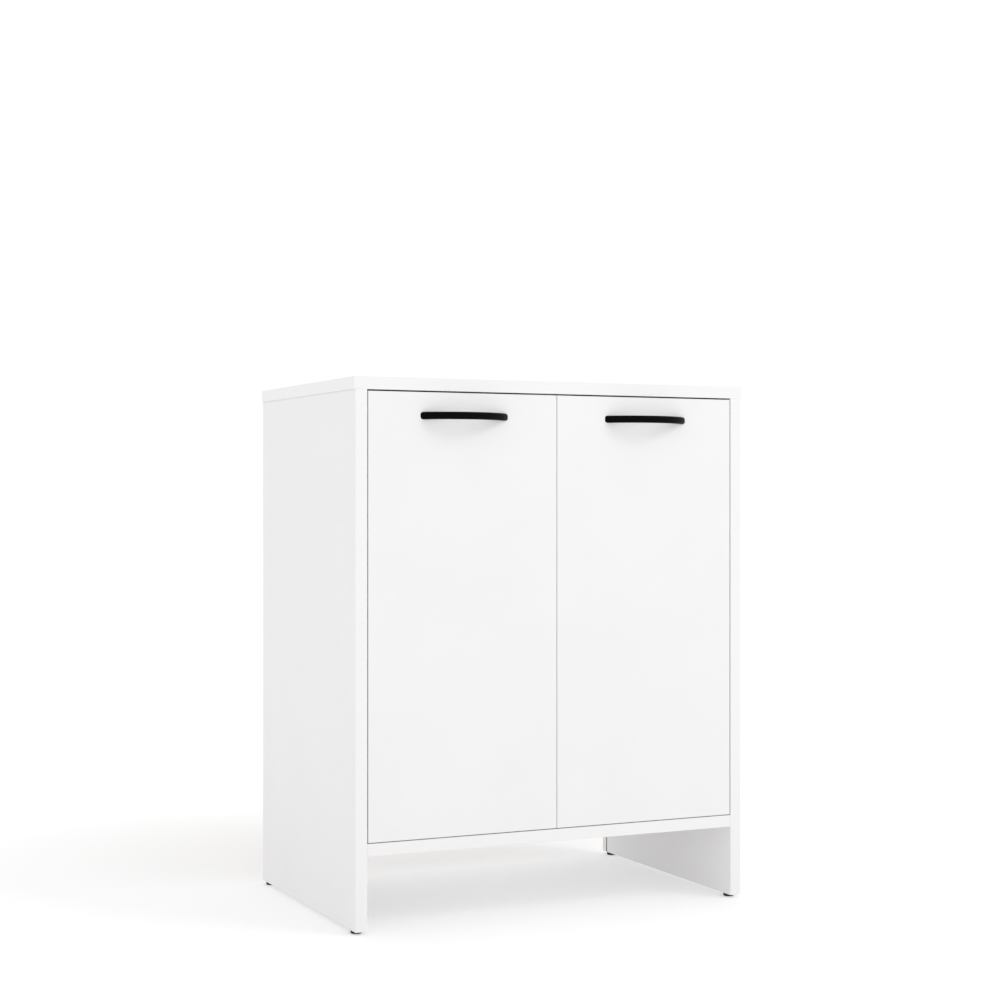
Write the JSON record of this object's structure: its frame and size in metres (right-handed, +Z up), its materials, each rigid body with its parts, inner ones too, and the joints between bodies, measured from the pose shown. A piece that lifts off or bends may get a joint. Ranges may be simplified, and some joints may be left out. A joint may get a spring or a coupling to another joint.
{
  "type": "bathroom vanity cabinet",
  "caption": "Free-standing bathroom cupboard in white board, with a flat top, hinged inset doors with black bow handles, shelves, and side panels that run down as legs.",
  "frame": {"origin": "middle of the overall footprint, at floor level under the glides", "axes": "+Z up, +X to the right as seen from the front, +Y from the doors to the back"},
  "size_m": [0.64, 0.452, 0.791],
  "materials": {
    "white_board": "white melamine on 18 mm particle board, satin",
    "back_board": "3 mm hardboard, white lacquered inside, raw brown outside",
    "black_powder_coat": "matte black powder coat",
    "black_plastic": "moulded, matte",
    "white_plastic": "moulded, satin",
    "nickel_steel": "nickel-plated pressed steel",
    "bright_steel": "zinc-plated",
    "zinc_casting": "die-cast, dull",
    "magnet": "sintered ferrite, dark grey",
    "beech": "fluted beech dowel, raw"
  },
  "bodies": {
    "carcass": {"top_panel": "white_board", "left_side_panel": "white_board", "right_side_panel": "white_board", "bottom_panel": "white_board", "back_panel": "back_board", "back_panel_nails": "bright_steel", "lower_shelf": "white_board", "upper_shelf": "white_board", "lower_shelf_pins": "bright_steel", "upper_shelf_pins": "bright_steel", "wood_dowels": "beech", "cam_bolts": "bright_steel", "cam_locks": "zinc_casting", "cam_cover_caps": "white_plastic", "front_left_foot": "black_plastic", "front_right_foot": "black_plastic", "rear_left_foot": "black_plastic", "rear_right_foot": "black_plastic", "foot_nails": "bright_steel", "magnetic_catch": "white_plastic", "catch_magnets": "magnet", "catch_screws": "bright_steel", "left_lower_hinge_arm": "nickel_steel", "left_lower_mounting_plate": "nickel_steel", "left_upper_hinge_arm": "nickel_steel", "left_upper_mounting_plate": "nickel_steel", "left_plate_screws": "bright_steel", "left_arm_screws": "bright_steel", "right_lower_hinge_arm": "nickel_steel", "right_lower_mounting_plate": "nickel_steel", "right_upper_hinge_arm": "nickel_steel", "right_upper_mounting_plate": "nickel_steel", "right_plate_screws": "bright_steel", "right_arm_screws": "bright_steel"},
    "left_door_leaf": {"left_door": "white_board", "left_handle": "black_powder_coat", "left_handle_screws": "bright_steel", "left_strike_plate": "bright_steel", "left_strike_screw": "bright_steel", "left_hinge_pins": "bright_steel", "left_cup_screws": "bright_steel", "left_lower_hinge_cup": "nickel_steel", "left_upper_hinge_cup": "nickel_steel"},
    "right_door_leaf": {"right_door": "white_board", "right_handle": "black_powder_coat", "right_handle_screws": "bright_steel", "right_strike_plate": "bright_steel", "right_strike_screw": "bright_steel", "right_hinge_pins": "bright_steel", "right_cup_screws": "bright_steel", "right_lower_hinge_cup": "nickel_steel", "right_upper_hinge_cup": "nickel_steel"}
  },
  "joints": [
    {"name": "left_door_hinge", "type": "hinge", "parent": "carcass", "child": "left_door_leaf", "pos_m": [-0.2745, -0.186, 0.451], "axis": [0, 0, -1], "range_deg": [0, 95]},
    {"name": "right_door_hinge", "type": "hinge", "parent": "carcass", "child": "right_door_leaf", "pos_m": [0.2745, -0.186, 0.451], "axis": [0, 0, 1], "range_deg": [0, 95]}
  ]
}
